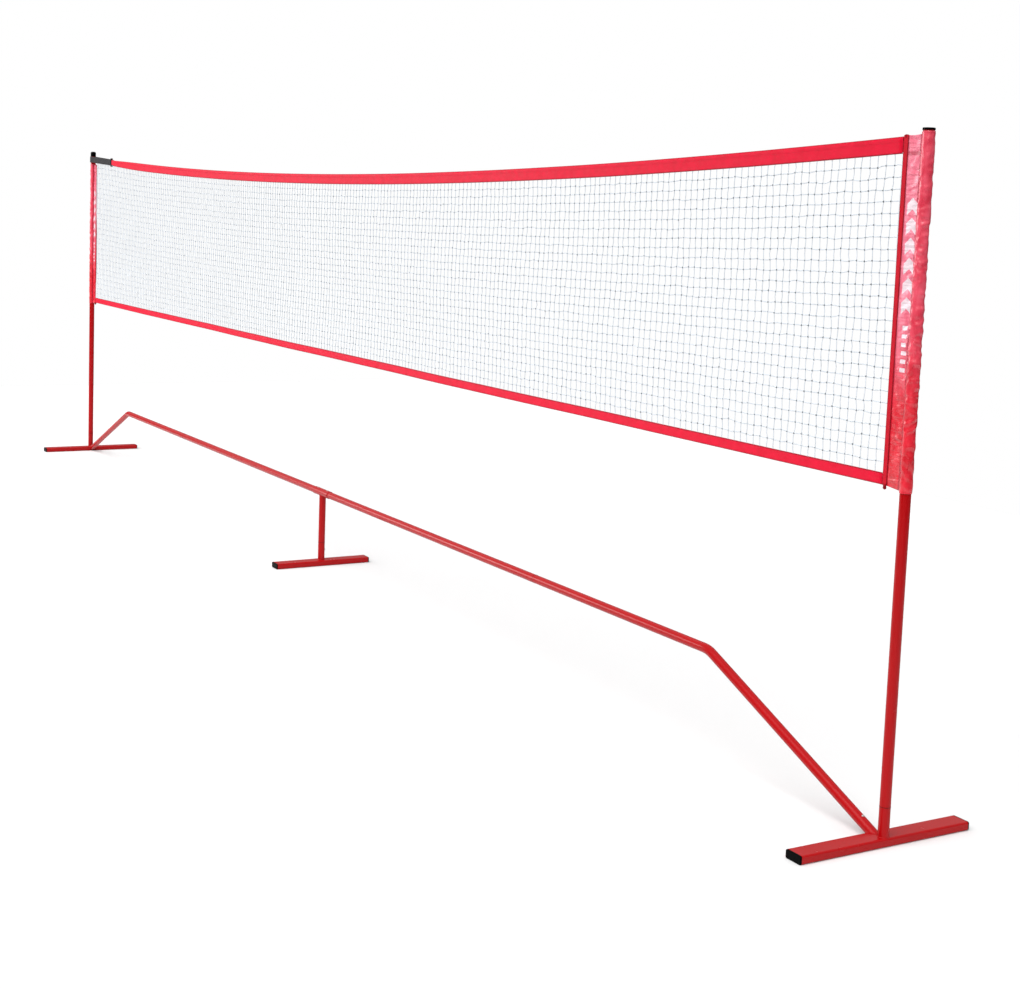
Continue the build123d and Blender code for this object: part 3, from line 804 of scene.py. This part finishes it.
def sleeve_sheet(side):
    """A sleeve's points by height and width, their cloth coordinates, its faces and seam column."""
    top_z = BINDING_TOP_Z[side]
    panel_columns = round((PANEL_W + SEWN_IN) / SLEEVE_STEP) + 1
    pocket_columns = round(2 * math.pi * POCKET_R / SLEEVE_STEP)
    seam_x = HALF - POCKET_R
    inner_x = seam_x - PANEL_W - SEWN_IN
    panel = [(x, 0.0) for x in np.linspace(inner_x, seam_x, panel_columns)]
    turns = 2 * math.pi * np.arange(1, pocket_columns) / pocket_columns
    pocket = [(HALF - POCKET_R * math.cos(t), -POCKET_R * math.sin(t)) for t in turns]
    plan = np.array(panel + pocket)
    across = np.concatenate([
        np.linspace(-SEWN_IN, PANEL_W, panel_columns), PANEL_W + POCKET_R * turns,
    ])
    share_out = np.clip((plan[:, 0] - inner_x) / (HALF - inner_x), 0, 1)
    dip = -4 * SLEEVE_DIP * share_out * (1 - share_out)
    top = top_z + SLEEVE_RISE * share_out**2 + dip
    bottom = BINDING_BOTTOM_Z + (SLEEVE_BOTTOM_Z - BINDING_BOTTOM_Z) * share_out
    rows = round((top_z - SLEEVE_BOTTOM_Z) / SLEEVE_STEP) + 1
    share_up = np.linspace(0, 1, rows)[:, None]
    z = bottom + (top - bottom) * share_up
    points = np.stack([side * plan[:, 0] + 0 * z, plan[:, 1] + 0 * z, z], -1)
    cloth = np.stack([across + 0 * z, top_z - z], -1)
    columns = len(plan)
    seam = panel_columns - 1
    row = np.arange(rows - 1) * columns
    closing = np.stack([
        row + columns - 1, row + 2 * columns - 1, row + columns + seam, row + seam,
    ], -1)
    return points, cloth, np.concatenate([grid_faces(rows, columns), closing]), seam


def crease(across, drop, seed):
    """Height of slanting folds at a point of the cloth, at most 1."""
    patch = 0.5 + 0.5 * noise.noise(Vector((across * 14, drop * 9, seed)))
    folds = []
    for lean in (CREASE_LEAN, -CREASE_LEAN):
        along = (across * math.cos(lean) + drop * math.sin(lean)) * CREASES_ALONG
        over = (drop * math.cos(lean) - across * math.sin(lean)) * CREASES_OVER
        folds.append(1 - 2.4 * abs(noise.noise(Vector((along, over, seed + 9 * lean)))))
    return patch * folds[0] + (1 - patch) * folds[1]


def creased(points, cloth, seam, side, heights, seed):
    """The sleeve's points with folds pressed into them, none at its seams and edges.

    heights are the folds' heights on the panel and on the pocket.
    """
    rows, columns = points.shape[:2]
    folds = np.array([[crease(*spot, seed) for spot in row] for row in cloth])
    folds *= np.sin(np.linspace(0, math.pi, rows))[:, None] ** 0.25
    folds[:, :seam] *= heights[0]
    folds[:, seam:] *= heights[1]
    axis = np.array([side * HALF, 0, 0])
    start = points - axis
    panel_rise = np.sin(np.linspace(0, math.pi, seam + 1))[1:seam] ** 0.5
    start[:, 1:seam, 1] += folds[:, 1:seam] * panel_rise
    round_post = start[:, seam + 1:, :2]
    outward = np.maximum(folds[:, seam + 1:], 0)
    outward *= np.sin(np.linspace(0, math.pi, columns - seam + 1))[1:-1] ** 0.5
    round_post *= 1 + outward[..., None] / POCKET_R
    return start + axis


def settled(points, faces, seam, side):
    """The sleeve's points after its creased cloth has settled against its seams and the post."""
    rows, columns = points.shape[:2]
    axis = np.array([side * HALF, 0, 0])
    start = ((points - axis) * SIM_SCALE).reshape(-1, 3)
    mesh = bpy.data.meshes.new("swelling")
    mesh.from_pydata(start.tolist(), [], faces.tolist())
    swelling = added("swelling", mesh)
    pins = swelling.vertex_groups.new(name="pins")
    index = np.arange(rows * columns).reshape(rows, columns)
    pins.add(index[:, 0].tolist(), 1.0, "ADD")
    pins.add(index[[0, -1], :].ravel().tolist(), 1.0, "ADD")
    pins.add(index[1:-1, seam].tolist(), 0.05, "ADD")
    post_mesh = bpy.data.meshes.new("collider")
    post_rows, post_sides = 60, 24
    heights = np.linspace(start[:, 2].min() - 0.3, start[:, 2].max() + 0.3, post_rows)
    rings = [
        (POST_R * SIM_SCALE * cosine, POST_R * SIM_SCALE * sine, z)
        for z in heights for cosine, sine in circle(post_sides)
    ]
    post_faces = grid_faces(post_rows, post_sides, wrap_columns=True)
    post_mesh.from_pydata(rings, [], post_faces.tolist())
    collider = added("collider", post_mesh)
    collider.modifiers.new("collision", "COLLISION")
    collider.collision.thickness_outer = 0.004
    cloth = swelling.modifiers.new("cloth", "CLOTH")
    settings = cloth.settings
    settings.quality = 6
    settings.mass = 0.2
    settings.tension_stiffness = settings.compression_stiffness = 12
    settings.shear_stiffness = 6
    settings.bending_stiffness = 0.02
    settings.air_damping = 3
    settings.shrink_min = -0.03
    settings.vertex_group_mass = "pins"
    settings.effector_weights.gravity = 0
    cloth.collision_settings.distance_min = 0.006
    cloth.collision_settings.use_self_collision = False
    scene = bpy.context.scene
    for number in range(1, SIM_FRAMES + 1):
        scene.frame_set(number)
    evaluated = swelling.evaluated_get(bpy.context.evaluated_depsgraph_get())
    result = np.zeros(len(start) * 3)
    evaluated.data.vertices.foreach_get("co", result)
    bpy.data.objects.remove(swelling)
    bpy.data.objects.remove(collider)
    scene.frame_set(1)
    return result.reshape(points.shape) / SIM_SCALE + axis


def held_close(points, flat, side):
    """Points no further than SLEEVE_CAP from where they lay flat, and none inside the post."""
    move = points - flat
    length = np.linalg.norm(move, axis=-1, keepdims=True)
    points = flat + move * np.minimum(1, SLEEVE_CAP / np.maximum(length, 1e-9))
    off_axis = points[..., :2] - np.array([side * HALF, 0])
    radius = np.linalg.norm(off_axis, axis=-1, keepdims=True)
    points[..., :2] += off_axis * (np.maximum(radius, POCKET_MIN_R) / radius - 1)
    return points


def on_grid(points, places):
    """Points at fractional (row, column) places of a grid of points."""
    corner = np.minimum(np.floor(places).astype(int), np.array(points.shape[:2]) - 2)
    row, column = corner.T
    up, over = (places - corner).T[..., None]
    low = points[row, column] * (1 - over) + points[row, column + 1] * over
    high = points[row + 1, column] * (1 - over) + points[row + 1, column + 1] * over
    return low * (1 - up) + high * up


def seam_stitches(name, points, paths, slot):
    """Stitches on both faces of the cloth along paths, each from one (row, column) to another."""
    starts, ends, normals = [], [], []
    for first, last in paths:
        first, last = np.array(first, float), np.array(last, float)
        ruler = on_grid(points, first + (last - first) * np.linspace(0, 1, 60)[:, None])
        count = round(np.linalg.norm(np.diff(ruler, axis=0), axis=1).sum() / STITCH)
        steps = first + (last - first) * (np.arange(count)[:, None] / count)
        near, far = (
            on_grid(points, steps + (last - first) * part / count) for part in (0, THREAD_SHARE)
        )
        over = on_grid(points, steps + (0, 0.5)) - on_grid(points, steps)
        up = on_grid(points, steps + (0.5, 0)) - on_grid(points, steps)
        normal = np.cross(up, over)
        normal /= np.linalg.norm(normal, axis=1, keepdims=True)
        for face in (1, -1):
            lift = face * normal * SLEEVE_T / 2
            starts.append(near + lift)
            ends.append(far + lift)
            normals.append(face * normal)
    return stitches(name, *map(np.concatenate, (starts, ends, normals)), slot)


for name, side in SIDES.items():
    flat, cloth, faces, seam = sleeve_sheet(side)
    points = flat
    points = creased(flat, cloth, seam, side, CREASES, SEED + 3 * side)
    points = held_close(settled(points, faces, seam, side), flat, side)
    points = creased(points, cloth, seam, side, LATE_CREASES, SEED + 3 * side + 1)
    mesh = made_mesh(points.reshape(-1, 3), faces, cloth.reshape(-1, 2))
    sleeve = new_piece(f"{name}_sleeve_cloth", mesh, FINISHES["red_satin"], "net")
    smoother = sleeve.modifiers.new("smooth", "SUBSURF")
    smoother.levels = smoother.render_levels = 1
    solid_sheet(sleeve, SLEEVE_T)
    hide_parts(f"{name}_sleeve")
    rows, columns = points.shape[:2]
    height = cloth[0, 0, 1]
    row_pitch, column_pitch = height / (rows - 1), (PANEL_W + SEWN_IN) / seam
    seam_column = seam - (SEAM_W - STITCH_IN) / column_pitch
    hem = HEM_W / row_pitch
    paths = [((hem, seam_column), (rows - 1 - hem, seam_column))]
    for row in (hem, rows - 1 - hem):
        paths.append(((row, 1), (row, columns - 2)))
    for drop in CROSS_SEAM_DROPS:
        row = rows - 1 - drop / row_pitch
        paths.append(((row, 1), (row, seam_column)))
    sewing = seam_stitches(f"{name}_sleeve_stitches", points, paths, "red_satin")


# Knots at the ends of the bindings

KNOT_CORD_T = 0.0036  # of the top knots; the bottom ones are thicker by their scale
KNOTS = {1: (-0.0020, 0.0009), -1: (0.0030, 0.0013)}  # how far past the binding's end, and scale


def trefoil(centre, turn, scale):
    """Closed loop of a small overhand knot about a centre, turned about the upright axis."""
    loop = []
    for t in np.linspace(0, 2 * math.pi, 48, endpoint=False):
        flat = Vector((
            math.sin(t) + 2 * math.sin(2 * t), -math.sin(3 * t), math.cos(t) - 2 * math.cos(2 * t),
        ))
        loop.append(Vector(centre) + Matrix.Rotation(turn, 3, "Z") @ flat * scale)
    return loop, [scale / KNOTS[1][1]] * len(loop)


knot_loops = []
for side in SIDES.values():
    for place_z, outward in ((BINDING_TOP_Z[side], 1), (BINDING_BOTTOM_Z, -1)):
        rise, scale = KNOTS[outward]
        centre = (side * BINDING_X, 0, place_z + outward * rise)
        knot_loops.append(trefoil(centre, 0.6 * side * outward, scale))
corner_knots = new_piece(
    "corner_knot_cords", wires(knot_loops, KNOT_CORD_T),
    FINISHES["dark_red_tape"], "net",
)
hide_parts("corner_knots")


# Tension strap at the left post, and the top band's tab on the buckle

STRAP_ORIGIN = np.array([-HALF, 0, 1.5295])
STRAP_TILT = math.radians(3)
STRAP_OUT = np.array([math.cos(STRAP_TILT), 0, -math.sin(STRAP_TILT)])  # towards the net
STRAP_UP = np.array([math.sin(STRAP_TILT), 0, math.cos(STRAP_TILT)])
ACROSS = np.array([0.0, 1.0, 0.0])
FIRST_BAR, LAST_BAR = 0.315, 0.337  # the buckle's, measured from the post's axis
STRAP_W, STRAP_T, STRAP_LENGTH = 0.030, 0.0014, 0.68
STRAP_ENDS = ((0, 0.0152), (FIRST_BAR, 0.0036))  # distance and radius of the belt's two turns
STRAP_SWAY = 0.0004
STRAP_STITCH = 0.0035
TAB_W, TAB_T, TAB_LENGTH = 0.026, 0.0007, 0.068
TAB_ENDS = ((LAST_BAR, 0.0033), (0.362, 0.0021))
BELT_STEP, TURN_STEP = 0.004, 0.0012  # between a belt's points on its straight runs and its turns


def wrap(ends):
    """Points, outward directions and runs of a closed belt round two (distance, radius) circles."""
    (near, near_r), (far, far_r) = ends
    reach = math.acos((near_r - far_r) / (far - near))
    turns = []
    for centre, radius, low, high in (
        (near, near_r, reach, 2 * math.pi - reach), (far, far_r, -reach, reach),
    ):
        count = max(8, round(radius * (high - low) / TURN_STEP))
        turns.append([(centre, radius, angle) for angle in np.linspace(low, high, count)])
    corners = turns[0] + turns[1]
    points = np.array([(c + r * math.cos(a), r * math.sin(a)) for c, r, a in corners])
    outward = np.array([(math.cos(a), math.sin(a)) for _, _, a in corners])
    rows, directions = [], []
    for index in range(len(points)):
        following = (index + 1) % len(points)
        gap = points[following] - points[index]
        count = max(1, round(np.linalg.norm(gap) / BELT_STEP))
        for part in range(count):
            rows.append(points[index] + gap * part / count)
            directions.append(outward[index])
    rows, directions = np.array(rows), np.array(directions)
    runs = np.concatenate([[0], np.cumsum(np.linalg.norm(np.diff(rows, axis=0), axis=1))])
    return rows, directions, runs


def belt(name, ends, width, thickness, slot, sway=0.0):
    """Flat tape wrapped round two places along the strap's line, uneven by sway."""
    rows, directions, runs = wrap(ends)
    profile = [(a, 0.0) for a in np.linspace(-width / 2, width / 2, 9)]

    def place(along, across, out):
        x, y = (np.interp(along, runs, rows[:, k]) for k in (0, 1))
        dx, dy = (np.interp(along, runs, directions[:, k]) for k in (0, 1))
        lift = out + sway * np.sin(along * 42) * np.cos(across * 70)
        spot = (
            STRAP_ORIGIN
            + (x + dx * lift)[..., None] * STRAP_OUT
            + (y + dy * lift)[..., None] * ACROSS
            + across[..., None] * STRAP_UP
        )
        return spot[..., 0], spot[..., 1], spot[..., 2]

    return ribbon(name, place, runs, profile, thickness, slot, closed=True)


strap = belt("tension_strap_webbing", STRAP_ENDS, STRAP_W, STRAP_T, "black_webbing", STRAP_SWAY)
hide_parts("tension_strap")
tab = belt("top_band_tab", TAB_ENDS, TAB_W, TAB_T, "red_nylon")


def strap_seam(corners):
    """Starts, ends and normals of stitches on both strap faces, by (distance, rise) corners."""
    (near, near_r), (far, far_r) = STRAP_ENDS
    starts, ends, normals = [], [], []
    for first, last in zip(corners, corners[1:]):
        first, last = np.array(first), np.array(last)
        count = round(np.linalg.norm(last - first) / STRAP_STITCH)
        for step in range(count):
            for face in (FRONT, BACK):
                for part, spots in ((0, starts), (THREAD_SHARE, ends)):
                    along, rise = first + (last - first) * (step + part) / count
                    out = near_r + (far_r - near_r) * along / (far - near) + STRAP_T / 2
                    spots.append(
                        STRAP_ORIGIN + along * STRAP_OUT + rise * STRAP_UP + face * out * ACROSS
                    )
                normals.append(face * ACROSS)
    return starts, ends, normals


BOX_IN, BOX_OUT, BOX_RISE = 0.262, 0.292, 0.011  # the box with a cross sewn near the buckle
box = [(BOX_IN, -BOX_RISE), (BOX_OUT, -BOX_RISE), (BOX_OUT, BOX_RISE), (BOX_IN, BOX_RISE)]
thread_path = box + [box[0], box[2], box[1], box[3]]
strap_sewing = stitches(
    "tension_strap_stitches", *strap_seam(thread_path), "black_webbing",
    thread=FINISHES["black_plastic"],
)


# Weld beads on the frame, and dark lines of painted shadow for the gaps at its joints

BEAD = 0.0030
BEAD_PITCH = 0.0030
RING_SIDES = 96
BRACE_FOOT = Vector((HALF - 0.020, 0, BAR_H / 2))  # ends of the brace's axis on the right
BRACE_BEND = Vector((HALF - 0.655, 0, CROSSBAR_Z))
TEE_R = (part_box("tee_leg")[1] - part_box("tee_leg")[0]).y / 2


def bead(points):
    """Loop of a weld, with a scallop every BEAD_PITCH."""
    run = np.concatenate([[0], np.cumsum([(b - a).length for a, b in zip(points, points[1:])])])
    return points, 0.85 + 0.3 * np.abs(np.sin(math.pi * run / BEAD_PITCH))


def ring(centre_x, height):
    """Loop round the foot of an upright tube; height is a number or a function of the point's y."""
    loop = []
    for cosine, sine in circle(RING_SIDES):
        x, y = POST_R * cosine, POST_R * sine
        loop.append(Vector((centre_x + x, y, height(y) if callable(height) else height)))
    return loop


def brace_ring(side):
    """Loop where a slanted socket enters its foot bar's top and inner side."""
    direction = (BRACE_BEND - BRACE_FOOT).normalized()
    upward = Vector((direction.z, 0, -direction.x))
    loop = []
    for cosine, sine in circle(RING_SIDES):
        start = BRACE_FOOT + POST_R * (cosine * Vector((0, 1, 0)) + sine * upward)
        to_side = (BAR_X - BAR_W / 2 - start.x) / direction.x
        to_top = (BAR_H - start.z) / direction.z
        spot = start + direction * min(to_side, to_top)
        loop.append(Vector((side * spot.x, spot.y, spot.z)))
    return loop


def tube_ring(centre, direction, radius):
    """Loop round a tube at a point of its axis."""
    turn = Vector(direction).to_track_quat("Z", "Y").to_matrix()
    loop = []
    for cosine, sine in circle(64):
        loop.append(Vector(centre) + turn @ Vector((radius * cosine, radius * sine, 0)))
    return loop, [1.0] * len(loop)


beads = [bead(ring(0, BAR_H)), bead(ring(0, lambda y: CROSSBAR_Z - math.sqrt(TEE_R**2 - y**2)))]
for side in SIDES.values():
    beads += [bead(ring(side * HALF, BAR_H)), bead(brace_ring(side))]
new_piece("weld_beads", wires(beads, BEAD), FINISHES["red_paint"], "base")

SOCKET, LEG_SOCKET = 0.068, 0.066  # lengths of the sockets above their foot bars
JOINT_X = 1.55  # joint between an end tube and its crossbar tube
JOINT_SHADOW_LINE = 0.0016  # thickness of a line of painted shadow
LINE_R = POST_R - 0.0004
# rings of black painted shadow where a tube meets its socket or the next tube
lines = [tube_ring((0, 0, BAR_H + LEG_SOCKET), (0, 0, 1), LINE_R)]
for side in SIDES.values():
    lines.append(tube_ring((side * HALF, 0, BAR_H + SOCKET), (0, 0, 1), LINE_R))
    lines.append(tube_ring((side * JOINT_X, 0, CROSSBAR_Z), (1, 0, 0), LINE_R))
joint_gap_shadows = wires(lines, JOINT_SHADOW_LINE)
new_piece("joint_gap_shadows", joint_gap_shadows, FINISHES["black_plastic"], "base")
